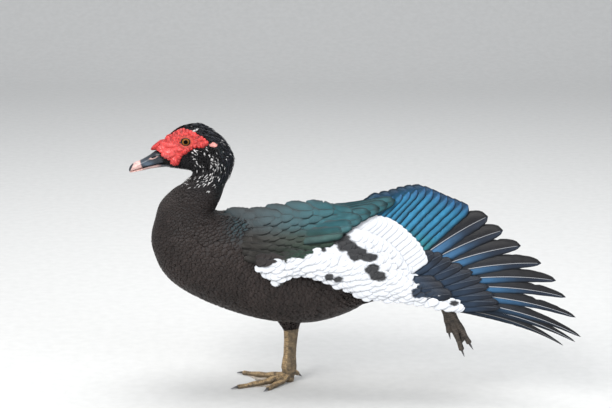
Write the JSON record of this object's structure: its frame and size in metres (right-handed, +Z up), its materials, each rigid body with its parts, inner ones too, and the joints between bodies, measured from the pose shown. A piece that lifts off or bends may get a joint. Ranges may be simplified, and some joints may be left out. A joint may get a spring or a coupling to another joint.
{
  "type": "muscovy duck",
  "caption": "Life-size muscovy duck that stands with its left wing and left leg stretched back; layered feather vanes, warty bare face, flat bill and webbed feet.",
  "frame": {"origin": "on the floor under the middle of the standing right foot's web", "axes": "+Z up from the floor; the bill points to -X and the tail and the stretched wing to +X; the bird's left side faces -Y"},
  "size_m": [0.6624, 0.2298, 0.4012],
  "materials": {
    "feathers": "matte",
    "wing_feathers": "satin",
    "face_skin": "satin",
    "bill": "satin",
    "eye": "gloss",
    "leg_skin": "matte",
    "claw": "satin"
  },
  "bodies": {
    "root": {"torso": "feathers", "neck": "feathers", "head": "face_skin", "tail": "wing_feathers", "wing_left": "wing_feathers", "wing_right": "wing_feathers", "bill_upper": "bill", "bill_lower": "bill", "eye_left": "eye", "eye_right": "eye", "thigh_left": "feathers", "thigh_right": "feathers", "shank_left": "leg_skin", "shank_right": "leg_skin", "foot_left": "leg_skin", "foot_right": "leg_skin", "claw_left_1": "claw", "claw_left_2": "claw", "claw_left_3": "claw", "claw_left_4": "claw", "claw_right_1": "claw", "claw_right_2": "claw", "claw_right_3": "claw", "claw_right_4": "claw"}
  },
  "joints": []
}
